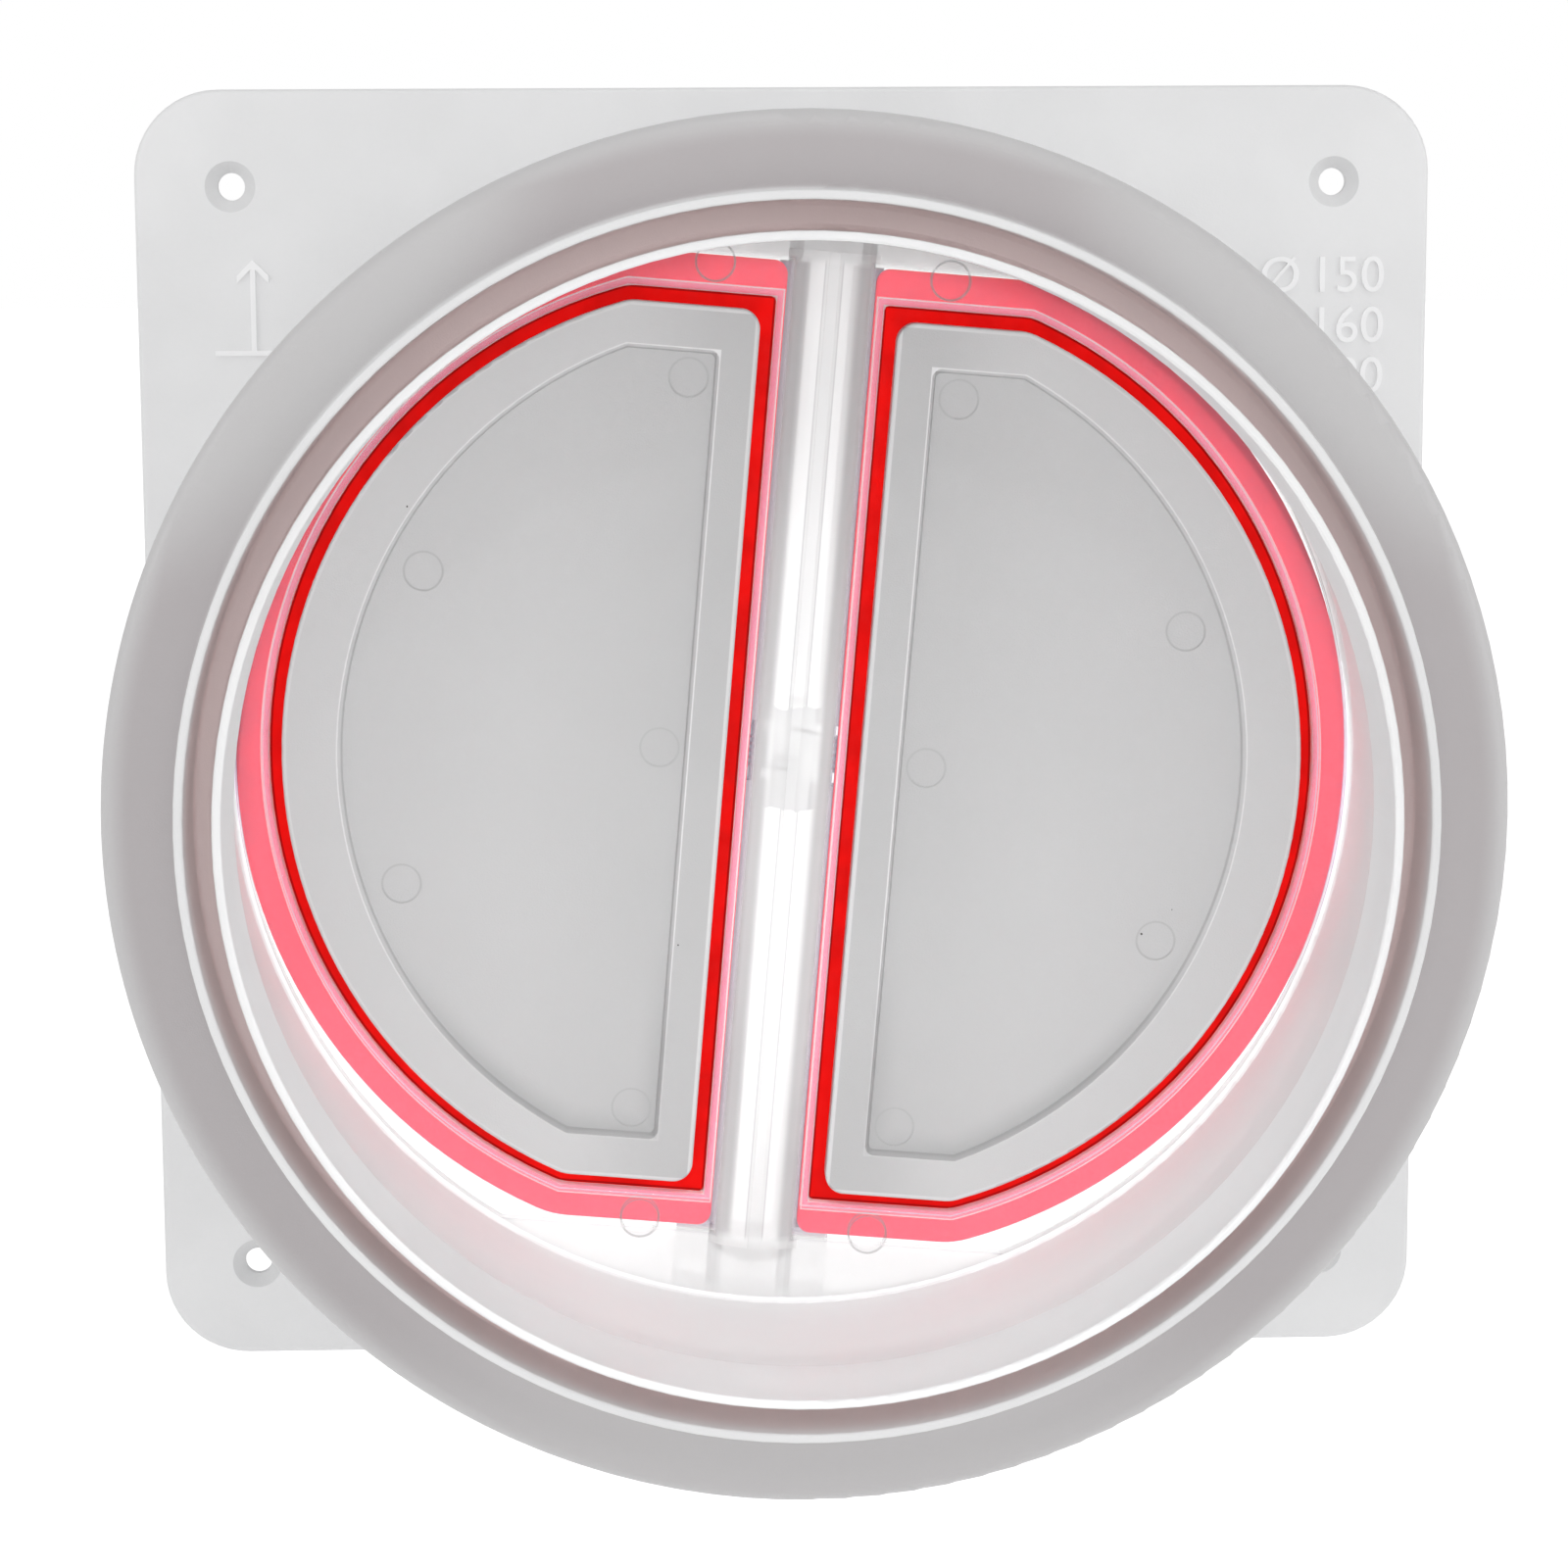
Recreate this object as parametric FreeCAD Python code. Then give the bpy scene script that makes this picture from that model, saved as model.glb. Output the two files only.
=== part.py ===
import FreeCAD, Part
import math
import os
from collections import namedtuple

# Wall-mounted backdraft damper for a kitchen flue.
# A square wall plate carries a round stepped collar for 150, 160 and 180 mm ducts.
# A clear seat with two D-shaped windows is clipped into the collar from behind.
# Two sprung flaps with soft seals close the windows and swing away from the room.
# The origin is on the duct axis, in the plate's back face. +Y points into the flue, +Z up.
# All sizes are in millimetres.

# Wall plate
PLATE_MARGIN = 5.0
PLATE_THICKNESS = 3.0
PLATE_CORNER_R = 12.5
PLATE_EDGE_R = 0.8
SCREW_INSET = 14.0
SCREW_HOLE_D = 4.0
SCREW_SINK_D = 7.4

# Stepped collar, measured back from the rim of its inner ring
COLLAR_DEPTH = 98.6
SKIRT_D = 180.0
SKIRT_WALL = 2.2
SHOULDER_SETBACK = 7.3
SHOULDER_WALL = 2.0
SHOULDER_R = 2.0
MIDDLE_RING_STEP = 10.0
MIDDLE_RING_WALL = 1.2
MIDDLE_RING_SETBACK = 1.6
INNER_RING_STEP = 5.0
INNER_RING_WALL = 1.2
GROOVE_DEPTH = 13.5
GROOVE_FLOOR = 2.0
RIM_ROUND = 0.35
ROOT_ROUND = 0.8

# Ribs that the seat rests against, and snaps that hold it there
RIB_COUNT = 8
RIB_THICKNESS = 1.6
RIB_TO_SLEEVE = 1.5
SNAP_COUNT = 4
SNAP_HEIGHT = 0.9
SNAP_LENGTH = 3.0
SNAP_SPAN_DEG = 12.0
SNAP_PLAY = 0.2

# Seat: a sleeve, a web with two windows, a crowned centre bar and a rear lip
SEAT_TURN_DEG = 5.0
SEAT_SETBACK = 68.0
WEB_THICKNESS = 2.0
SEAT_PLAY = 0.3
SLEEVE_WALL = 1.6
SLEEVE_LAP = 4.0
SLEEVE_PLAY = 0.2
LIP_DEPTH = 6.0
LIP_WALL = 1.8
SEAT_LEDGE = 5.6
WINDOW_CENTRE = 5.95
WINDOW_END_CUT = 3.8
WINDOW_CORNER_R = 0.8
WINDOW_KNEE_R = 7.7
WINDOW_EDGE_R = 1.0
BAR_WIDTH = 15.3
CROWN_WIDTH = 13.8
CROWN_HEIGHT = 2.4
CROWN_WALL = 2.0
CROWN_END_WALL = 1.2
TROUGH_WIDTH = 10.8
BAR_RIB_WIDTH = 1.5
BAR_RIB_HEIGHT = 0.5

# Flaps and seals
PANEL_GAP = 2.0
PANEL_PROUD = 2.0
PANEL_CORNER_R = 2.8
PANEL_EDGE_R = 0.5
FLAP_WALL = 1.8
RECESS_DEPTH = 1.6
RECESS_BAR_BORDER = 5.35
RECESS_END_BORDER = 6.1
RECESS_ARC_BORDER = 7.9
RECESS_CORNER_R = 1.4
RECESS_DRAFT = 0.6
FLAP_RIB_SPACING = 24.0
FLAP_RIB_THICKNESS = 1.4
FLAP_RIB_DROP = 0.6
SEAL_THICKNESS = 1.8
SEAL_GAP = 0.2
SEAL_LAP = 5.1
SEAL_BAR_LAP = 1.35
SEAL_CORNER_R = 2.0
RIM_INSET = 1.2

# Hinges
HINGE_X = 5.2
PIN_D = 2.0
PIN_RUN = 0.05
PIN_SEAT = 0.02
PIN_INSET = 1.0
PIN_CHAMFER = 0.3
BARREL_D = 4.4
BARREL_DROP = 0.1
BLOCK_WIDTH = 22.0
BLOCK_MARGIN = 1.6
END_PLAY = 0.6

# Torsion springs and the posts that their fixed legs press on
WIRE_D = 0.6
COIL_PLAY = 0.3
COIL_TURNS = 5
COIL_PITCH = 1.0
SPRING_ROOM = 1.6
LEG_PLAY = 0.1
POST_WIDTH = 3.6
POST_LENGTH = 7.2
POST_SHIFT = 0.7
POST_GAP = 1.4
PAD_WIDTH = 3.0

# Shallow round marks left by the moulds' ejector pins
MARK_D = 5.6
MARK_DEPTH = 0.15
MARK_INSET = 4.1
MARK_ARC_INSET = 5.75
MARK_ARC_DEG = 23.4
WEB_MARK_X = 16.6
WEB_MARK_INSET = 4.2

# Small overlap that lets two forms of one moulding join
BITE = 0.4

# Radii and places worked out from the sizes above
SKIRT_R = SKIRT_D / 2
PLATE_HALF = SKIRT_R + PLATE_MARGIN
SCREW_AT = PLATE_HALF - SCREW_INSET
BORE_R = SKIRT_R - SKIRT_WALL
MIDDLE_R = SKIRT_R - MIDDLE_RING_STEP
INNER_R = MIDDLE_R - INNER_RING_STEP
MOUTH_R = INNER_R - INNER_RING_WALL
RIM_Y = -COLLAR_DEPTH
SHOULDER_Y = RIM_Y + SHOULDER_SETBACK
SHOULDER_BACK_Y = SHOULDER_Y + SHOULDER_WALL
GROOVE_Y = RIM_Y + GROOVE_DEPTH
MOUTH_BACK_Y = GROOVE_Y + GROOVE_FLOOR
SLEEVE_R = MIDDLE_R + SLEEVE_PLAY
SLEEVE_OUTER_R = SLEEVE_R + SLEEVE_WALL
SEAT_R = BORE_R - SEAT_PLAY
WEB_Y = RIM_Y + SEAT_SETBACK
WEB_BACK_Y = WEB_Y + WEB_THICKNESS
LIP_BACK_Y = WEB_BACK_Y + LIP_DEPTH
WINDOW_R = SLEEVE_R - SEAT_LEDGE - WINDOW_CENTRE
WINDOW_HALF = WINDOW_R - WINDOW_END_CUT
PANEL_Y = WEB_Y - PANEL_PROUD
SEAL_Y = WEB_BACK_Y + SEAL_GAP
RIM_FRONT_Y = SEAL_Y + SEAL_THICKNESS
RIM_BACK_Y = RIM_FRONT_Y + FLAP_WALL
BARREL_R = BARREL_D / 2
PIN_R = PIN_D / 2
PIN_Y = RIM_FRONT_Y + BARREL_R + BARREL_DROP
BLOCK_START = WINDOW_HALF + SEAL_LAP + END_PLAY
COIL_R = PIN_R + COIL_PLAY + WIRE_D / 2
LEG_Y = PIN_Y + COIL_R
LEG_FRONT_Y = LEG_Y - WIRE_D / 2 - LEG_PLAY
COIL_LENGTH = COIL_TURNS * COIL_PITCH
SPRING_GAP = COIL_LENGTH + WIRE_D + 2 * SPRING_ROOM

AXIS = FreeCAD.Vector(0, 1, 0)
ORIGIN = FreeCAD.Vector(0, 0, 0)

# A D-shaped outline: a straight side at x = straight, flat ends at z = +-half, and an arc about
# (centre, 0). The corners beside the straight side are rounded, and so are the knees, where the
# flat ends meet the arc.
Dee = namedtuple("Dee", "straight half centre radius corner knee")


def grown(dee, by, corner):
    """The D offset outwards by a distance, with new corners."""
    return Dee(dee.straight - by, dee.half + by, dee.centre, dee.radius + by, corner, dee.knee + by)


def end_x(dee):
    """Where the flat end of a D would meet its arc without the knee's round."""
    return dee.centre + math.sqrt(dee.radius ** 2 - dee.half ** 2)


def dee_wire(dee, y):
    """The outline of a D in a plane across the duct axis."""
    def p(x, z):
        return FreeCAD.Vector(x, y, z)

    side, half, r = dee.straight, dee.half, dee.corner
    cut = r * (1 - math.sqrt(0.5))
    knee_z = half - dee.knee
    reach = dee.radius - dee.knee
    knee_x = dee.centre + math.sqrt(reach ** 2 - knee_z ** 2)
    turn = math.asin(knee_z / reach)
    far_x = dee.centre + dee.radius * math.cos(turn)
    far_z = dee.radius * math.sin(turn)
    lean = (turn + math.pi / 2) / 2
    mid_x = knee_x + dee.knee * math.cos(lean)
    mid_z = knee_z + dee.knee * math.sin(lean)
    edges = [
        Part.makeLine(p(side, r - half), p(side, half - r)),
        Part.Arc(p(side, half - r), p(side + cut, half - cut), p(side + r, half)).toShape(),
        Part.makeLine(p(side + r, half), p(knee_x, half)),
        Part.Arc(p(knee_x, half), p(mid_x, mid_z), p(far_x, far_z)).toShape(),
        Part.Arc(p(far_x, far_z), p(dee.centre + dee.radius, 0), p(far_x, -far_z)).toShape(),
        Part.Arc(p(far_x, -far_z), p(mid_x, -mid_z), p(knee_x, -half)).toShape(),
        Part.makeLine(p(knee_x, -half), p(side + r, -half)),
        Part.Arc(p(side + r, -half), p(side + cut, cut - half), p(side, r - half)).toShape(),
    ]
    return Part.Wire(edges)


def dee_prism(dee, front, back):
    """A D standing along the duct axis from front to back."""
    return Part.Face(dee_wire(dee, front)).extrude(FreeCAD.Vector(0, back - front, 0))


def towards(corner, here):
    """The direction from a point to a (u, v, radius) corner."""
    return FreeCAD.Vector(corner[0], corner[1], 0).sub(here).normalize()


def rounded_face(corners, place):
    """A flat face from (u, v, radius) corners; place turns u, v into a point."""
    count = len(corners)
    entries, middles, exits = [], [], []
    for i, (u, v, r) in enumerate(corners):
        here = FreeCAD.Vector(u, v, 0)
        before = towards(corners[i - 1], here)
        after = towards(corners[(i + 1) % count], here)
        half_angle = before.getAngle(after) / 2
        reach = r / math.tan(half_angle)
        inward = before.add(after).normalize()
        entries.append(here.add(before.multiply(reach)))
        exits.append(here.add(after.multiply(reach)))
        middles.append(here.add(inward.multiply(r / math.sin(half_angle) - r)))
    edges = []
    for i in range(count):
        start, middle, end = (place(q.x, q.y) for q in (entries[i], middles[i], exits[i]))
        if corners[i][2] > 0:
            edges.append(Part.Arc(start, middle, end).toShape())
        following = entries[(i + 1) % count]
        edges.append(Part.makeLine(end, place(following.x, following.y)))
    return Part.Face(Part.Wire(edges))


def ring_section(corners):
    """A body of revolution about the duct axis from (radius, y, corner radius) corners."""
    return rounded_face(corners, lambda r, y: FreeCAD.Vector(r, y, 0)).revolve(ORIGIN, AXIS, 360)


def box(x0, x1, y0, y1, z0, z1):
    """A block between two corners."""
    return Part.makeBox(x1 - x0, y1 - y0, z1 - z0, FreeCAD.Vector(x0, y0, z0))


def rod_y(x, z, radius, front, back):
    """A round bar along the duct axis."""
    return Part.makeCylinder(radius, back - front, FreeCAD.Vector(x, front, z), AXIS)


def rod_z(x, y, radius, low, high):
    """A round bar along the hinge direction."""
    return Part.makeCylinder(radius, high - low, FreeCAD.Vector(x, y, low), FreeCAD.Vector(0, 0, 1))


def turned(shape, degrees):
    """A copy turned about the duct axis."""
    copy = shape.copy()
    copy.rotate(ORIGIN, AXIS, degrees)
    return copy


def pattern(shape, count, first=0.0):
    """Copies spaced evenly about the duct axis."""
    return [turned(shape, first + 360.0 * i / count) for i in range(count)]


def both_sides(shape):
    """A form and its copy half a turn about the duct axis away."""
    return pattern(shape, 2)


def wall_plate():
    """The square plate with rounded corners, a rounded front edge and a hole for the duct."""
    half = PLATE_HALF
    corners = [(x * half, z * half, PLATE_CORNER_R) for x, z in ((-1, -1), (1, -1), (1, 1), (-1, 1))]
    face = rounded_face(corners, lambda x, z: FreeCAD.Vector(x, -PLATE_THICKNESS, z))
    plate = face.extrude(FreeCAD.Vector(0, PLATE_THICKNESS, 0))
    front_edges = [e for e in plate.Edges if e.BoundBox.YMax < BITE - PLATE_THICKNESS]
    plate = plate.makeFillet(PLATE_EDGE_R, front_edges)
    return plate.cut(rod_y(0, 0, BORE_R, -2 * PLATE_THICKNESS, PLATE_THICKNESS))


def screw_hole(x, z):
    """A through hole with a sink for the screw's head on the room side."""
    hole = rod_y(x, z, SCREW_HOLE_D / 2, -2 * PLATE_THICKNESS, PLATE_THICKNESS)
    sink_depth = (SCREW_SINK_D - SCREW_HOLE_D) / 2
    top = FreeCAD.Vector(x, -PLATE_THICKNESS, z)
    sink = Part.makeCone(SCREW_SINK_D / 2, SCREW_HOLE_D / 2, sink_depth, top, AXIS)
    return hole.fuse(sink)


def collar():
    """Skirt, shoulder, middle ring, groove and inner ring as one wall of revolution."""
    return ring_section([
        (SKIRT_R, 0, 0),
        (SKIRT_R, SHOULDER_Y, SHOULDER_R),
        (MIDDLE_R, SHOULDER_Y, ROOT_ROUND),
        (MIDDLE_R, RIM_Y + MIDDLE_RING_SETBACK, RIM_ROUND),
        (MIDDLE_R - MIDDLE_RING_WALL, RIM_Y + MIDDLE_RING_SETBACK, RIM_ROUND),
        (MIDDLE_R - MIDDLE_RING_WALL, GROOVE_Y, ROOT_ROUND),
        (INNER_R, GROOVE_Y, ROOT_ROUND),
        (INNER_R, RIM_Y, RIM_ROUND),
        (MOUTH_R, RIM_Y, RIM_ROUND),
        (MOUTH_R, MOUTH_BACK_Y, RIM_ROUND),
        (MIDDLE_R, MOUTH_BACK_Y, RIM_ROUND),
        (MIDDLE_R, SHOULDER_BACK_Y, ROOT_ROUND),
        (BORE_R, SHOULDER_BACK_Y, ROOT_ROUND),
        (BORE_R, 0, 0),
    ])


def locating_rib():
    """A fin inside the skirt whose end stops the seat's web."""
    inner = SLEEVE_OUTER_R + RIB_TO_SLEEVE
    half = RIB_THICKNESS / 2
    return box(inner, BORE_R + BITE, SHOULDER_BACK_Y - BITE, WEB_Y, -half, half)


def snap():
    """A ramped catch inside the skirt, just behind the seat's lip."""
    catch_y = LIP_BACK_Y + SNAP_PLAY
    points = [
        FreeCAD.Vector(BORE_R + BITE, catch_y, 0),
        FreeCAD.Vector(BORE_R - SNAP_HEIGHT, catch_y, 0),
        FreeCAD.Vector(BORE_R + BITE, catch_y + SNAP_LENGTH, 0),
    ]
    face = Part.Face(Part.makePolygon(points + points[:1]))
    return turned(face.revolve(ORIGIN, AXIS, SNAP_SPAN_DEG), -SNAP_SPAN_DEG / 2)


def flange_body():
    """Plate and stepped collar, moulded as one piece."""
    additions = [collar()]
    additions += pattern(locating_rib(), RIB_COUNT, 180.0 / RIB_COUNT)
    additions += pattern(snap(), SNAP_COUNT, 180.0 / SNAP_COUNT)
    body = wall_plate().fuse(additions)
    holes = [screw_hole(x, z) for x in (-SCREW_AT, SCREW_AT) for z in (-SCREW_AT, SCREW_AT)]
    return body.cut(holes).removeSplitter()


def window():
    """The outline of the right-hand window in the seat's web."""
    return Dee(BAR_WIDTH / 2, WINDOW_HALF, WINDOW_CENTRE, WINDOW_R, WINDOW_CORNER_R, WINDOW_KNEE_R)


def bar_arch(width, top, base, half_length):
    """A low arched bar along the hinge direction, arching towards the room."""
    left = FreeCAD.Vector(-width / 2, base, -half_length)
    crown = FreeCAD.Vector(0, top, -half_length)
    right = FreeCAD.Vector(width / 2, base, -half_length)
    wire = Part.Wire([Part.Arc(left, crown, right).toShape(), Part.makeLine(right, left)])
    return Part.Face(wire).extrude(FreeCAD.Vector(0, 0, 2 * half_length))


def bearing_block():
    """The block at the bar's upper end that carries both hinge pins."""
    half = BLOCK_WIDTH / 2
    back = PIN_Y + PIN_R + BLOCK_MARGIN
    block = box(-half, half, WEB_BACK_Y - BITE, back, BLOCK_START, SEAT_R)
    return block.common(rod_y(0, 0, SEAT_R - BITE, WEB_Y, back))


def spring_post():
    """The post behind the bar that the right-hand spring's fixed leg presses on."""
    front = WEB_Y - CROWN_HEIGHT + CROWN_WALL - BITE
    side = POST_SHIFT - POST_WIDTH / 2
    low = POST_GAP / 2
    return box(side, side + POST_WIDTH, front, LEG_FRONT_Y, low, low + POST_LENGTH)


def seat_blank():
    """Sleeve, web and rear lip before the windows are cut."""
    return ring_section([
        (0, WEB_Y, 0),
        (SLEEVE_R, WEB_Y, ROOT_ROUND),
        (SLEEVE_R, MOUTH_BACK_Y - SLEEVE_LAP, RIM_ROUND),
        (SLEEVE_OUTER_R, MOUTH_BACK_Y - SLEEVE_LAP, RIM_ROUND),
        (SLEEVE_OUTER_R, WEB_Y, ROOT_ROUND),
        (SEAT_R, WEB_Y, RIM_ROUND),
        (SEAT_R, LIP_BACK_Y, RIM_ROUND),
        (SEAT_R - LIP_WALL, LIP_BACK_Y, RIM_ROUND),
        (SEAT_R - LIP_WALL, WEB_BACK_Y, ROOT_ROUND),
        (0, WEB_BACK_Y, 0),
    ])


def valve_seat():
    """The clear seat, before it is turned into place."""
    opening = dee_prism(window(), WEB_Y - WEB_THICKNESS, WEB_BACK_Y + WEB_THICKNESS)
    seat = seat_blank().cut(both_sides(opening))
    front_edges = [e for e in seat.Edges if is_window_edge(e)]
    seat = seat.makeFillet(WINDOW_EDGE_R, front_edges)
    bar_half = BLOCK_START + CROWN_END_WALL
    crown_y = WEB_Y - CROWN_HEIGHT
    crown = bar_arch(CROWN_WIDTH, crown_y, WEB_Y + BITE, bar_half)
    rib_half = BAR_RIB_WIDTH / 2
    rib = box(-rib_half, rib_half, crown_y - BAR_RIB_HEIGHT, WEB_Y, -bar_half, bar_half)
    trough = bar_arch(TROUGH_WIDTH, crown_y + CROWN_WALL, WEB_BACK_Y, BLOCK_START)
    seat = seat.fuse([crown, rib]).cut(trough)
    seat = seat.fuse(both_sides(bearing_block()) + both_sides(spring_post()))
    bore = rod_z(HINGE_X, PIN_Y, PIN_R + PIN_SEAT, -SKIRT_R, SKIRT_R)
    mark_z = WINDOW_HALF + WEB_MARK_INSET
    marks = [rod_y(x, z, MARK_D / 2, WEB_Y - MARK_DEPTH, WEB_Y + MARK_DEPTH)
             for x in (-WEB_MARK_X, WEB_MARK_X) for z in (-mark_z, mark_z)]
    return seat.cut(both_sides(bore) + marks).removeSplitter()


def is_window_edge(edge):
    """True for an edge of a window on the web's room side."""
    span = edge.BoundBox
    flat = span.YLength < MARK_DEPTH and abs(span.YMin - WEB_Y) < MARK_DEPTH
    middle = edge.valueAt((edge.FirstParameter + edge.LastParameter) / 2)
    return flat and math.hypot(middle.x, middle.z) < SLEEVE_R - SEAT_LEDGE / 2


def panel():
    """The outline of the flap's plug, which stands in the window."""
    return grown(window(), -PANEL_GAP, PANEL_CORNER_R)


def recess():
    """The outline of the sunk field on the plug's face."""
    plug = panel()
    half = plug.half - RECESS_END_BORDER
    reach = plug.centre + plug.radius - RECESS_ARC_BORDER
    depth = reach - end_x(plug)
    radius = (depth ** 2 + half ** 2) / (2 * depth)
    side = plug.straight + RECESS_BAR_BORDER
    return Dee(side, half, reach - radius, radius, RECESS_CORNER_R, RECESS_CORNER_R)


def pocket(field):
    """The sunk field's room, with walls that slope in towards its floor."""
    slope = RECESS_DRAFT / RECESS_DEPTH
    mouth = grown(field, BITE * slope, RECESS_CORNER_R + BITE * slope)
    floor = grown(field, -RECESS_DRAFT, RECESS_CORNER_R - RECESS_DRAFT)
    wires = [dee_wire(mouth, PANEL_Y - BITE), dee_wire(floor, PANEL_Y + RECESS_DEPTH)]
    return Part.makeLoft(wires, True, True)


def plug_block():
    """The plug as a full block, with a rounded front edge."""
    block = dee_prism(panel(), PANEL_Y, RIM_BACK_Y)
    front_edges = [e for e in block.Edges if e.BoundBox.YMax < PANEL_Y + BITE]
    return block.makeFillet(PANEL_EDGE_R, front_edges)


def seal_outline():
    """The outer edge of the seal, behind the seat's web."""
    around = grown(window(), SEAL_LAP, SEAL_CORNER_R)
    return around._replace(straight=BAR_WIDTH / 2 - SEAL_BAR_LAP)


def flap():
    """The right-hand flap: a hollow plug, a rim for the seal, a hinge barrel and ribs."""
    plug = panel()
    inside = grown(plug, -FLAP_WALL, PANEL_CORNER_R)
    hollow = dee_prism(inside, PANEL_Y + FLAP_WALL, RIM_BACK_Y + FLAP_WALL)
    field = recess()
    field_y = PANEL_Y + RECESS_DEPTH
    tray = dee_prism(grown(field, FLAP_WALL, PANEL_CORNER_R), PANEL_Y + BITE, field_y + FLAP_WALL)
    rim = grown(seal_outline(), -RIM_INSET, SEAL_CORNER_R)._replace(straight=HINGE_X)
    barrel_half = BLOCK_START - END_PLAY
    body = plug_block().fuse([
        dee_prism(rim, RIM_FRONT_Y, RIM_BACK_Y),
        rod_z(HINGE_X, PIN_Y, BARREL_R, -barrel_half, barrel_half),
    ])
    body = body.cut(hollow).fuse([tray] + flap_ribs(grown(inside, BITE, PANEL_CORNER_R)))
    body = body.cut([pocket(field), spring_notch(), flap_bore()])
    body = body.fuse(spring_pad())
    marks = [rod_y(x, z, MARK_D / 2, field_y - MARK_DEPTH, field_y + MARK_DEPTH)
             for x, z in flap_marks(field)]
    return body.cut(marks).removeSplitter()


def flap_marks(field):
    """The centres of the round marks on the flap's sunk field."""
    near = field.straight + MARK_INSET
    end = field.half - MARK_INSET
    reach = field.radius - MARK_ARC_INSET
    far = field.centre + reach * math.cos(math.radians(MARK_ARC_DEG))
    level = reach * math.sin(math.radians(MARK_ARC_DEG))
    return (near, 0), (near, end), (near, -end), (far, level), (far, -level)


def flap_ribs(outline):
    """Stiffening ribs across the hollow at the back of the flap, within an outline."""
    half = FLAP_RIB_THICKNESS / 2
    front = PANEL_Y + FLAP_WALL
    back = RIM_BACK_Y - FLAP_RIB_DROP
    count = int((panel().half - FLAP_WALL) / FLAP_RIB_SPACING)
    levels = [i * FLAP_RIB_SPACING for i in range(-count, count + 1)]
    blocks = [box(0, SLEEVE_R, front, back, z - half, z + half) for z in levels]
    room = dee_prism(outline, front, back)
    return [block.common(room) for block in blocks]


def spring_notch():
    """Room for the spring's coil between the two lengths of the barrel."""
    side = HINGE_X + COIL_R + WIRE_D / 2 + COIL_PLAY
    half = SPRING_GAP / 2
    return box(0, side, RIM_FRONT_Y - BITE, PIN_Y + BARREL_D, -half, half)


def flap_bore():
    """The running bore for the hinge pin."""
    return rod_z(HINGE_X, PIN_Y, PIN_R + PIN_RUN, -SKIRT_R, SKIRT_R)


def spring_pad():
    """The pad on the flap's back that the spring's moving leg presses on."""
    side = panel().straight
    low = -COIL_LENGTH / 2 - PAD_WIDTH + WIRE_D
    return box(side, side + FLAP_WALL, RIM_BACK_Y - BITE, LEG_FRONT_Y, low, low + PAD_WIDTH)


def seal():
    """The right-hand soft seal, stretched round the flap's plug."""
    sheet = dee_prism(seal_outline(), SEAL_Y, RIM_FRONT_Y)
    return sheet.cut(dee_prism(panel(), SEAL_Y - BITE, RIM_FRONT_Y + BITE))


def hinge_pin():
    """The right-hand hinge pin, with a small chamfer at each end."""
    half = math.sqrt(SEAT_R ** 2 - HINGE_X ** 2) - PIN_INSET
    pin = rod_z(HINGE_X, PIN_Y, PIN_R, -half, half)
    ends = [e for e in pin.Edges if e.BoundBox.ZLength < PIN_CHAMFER]
    return pin.makeChamfer(PIN_CHAMFER, ends)


def torsion_spring():
    """The right-hand spring: a coil on the pin, one leg on the flap and one on the post."""
    helix = Part.makeHelix(COIL_PITCH, COIL_LENGTH, COIL_R)
    slope = COIL_PITCH / (2 * math.pi * COIL_R)
    flap_leg = panel().straight + FLAP_WALL - HINGE_X
    post_leg = HINGE_X
    start = FreeCAD.Vector(COIL_R, 0, 0)
    first = start.sub(FreeCAD.Vector(0, 1, slope).multiply(flap_leg))
    end = FreeCAD.Vector(COIL_R, 0, COIL_LENGTH)
    last = end.add(FreeCAD.Vector(0, 1, slope).multiply(post_leg))
    path = Part.Wire([Part.makeLine(first, start)] + helix.Edges + [Part.makeLine(end, last)])
    profile = Part.Wire(Part.makeCircle(WIRE_D / 2, first, FreeCAD.Vector(0, 1, slope)))
    spring = path.makePipeShell([profile], True, True)
    spring.rotate(ORIGIN, FreeCAD.Vector(0, 0, 1), 90)
    spring.translate(FreeCAD.Vector(HINGE_X, PIN_Y, -COIL_LENGTH / 2))
    return spring


def main():
    os.makedirs("parts", exist_ok=True)
    pieces = {"flange_body": flange_body(), "valve_seat": turned(valve_seat(), SEAT_TURN_DEG)}
    paired = {"flap": flap(), "seal": seal(), "hinge_pin": hinge_pin(), "spring": torsion_spring()}
    for name, shape in paired.items():
        pieces[name + "_right"] = turned(shape, SEAT_TURN_DEG)
        pieces[name + "_left"] = turned(shape, SEAT_TURN_DEG + 180)
    for name, shape in pieces.items():
        print(name, shape.isValid(), len(shape.Solids), round(shape.Volume / 1000, 3), "cm3")
        shape.exportStep("parts/" + name + ".step")


main()
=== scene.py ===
import math

import bmesh
import bpy
from mathutils import Matrix, Vector


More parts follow.
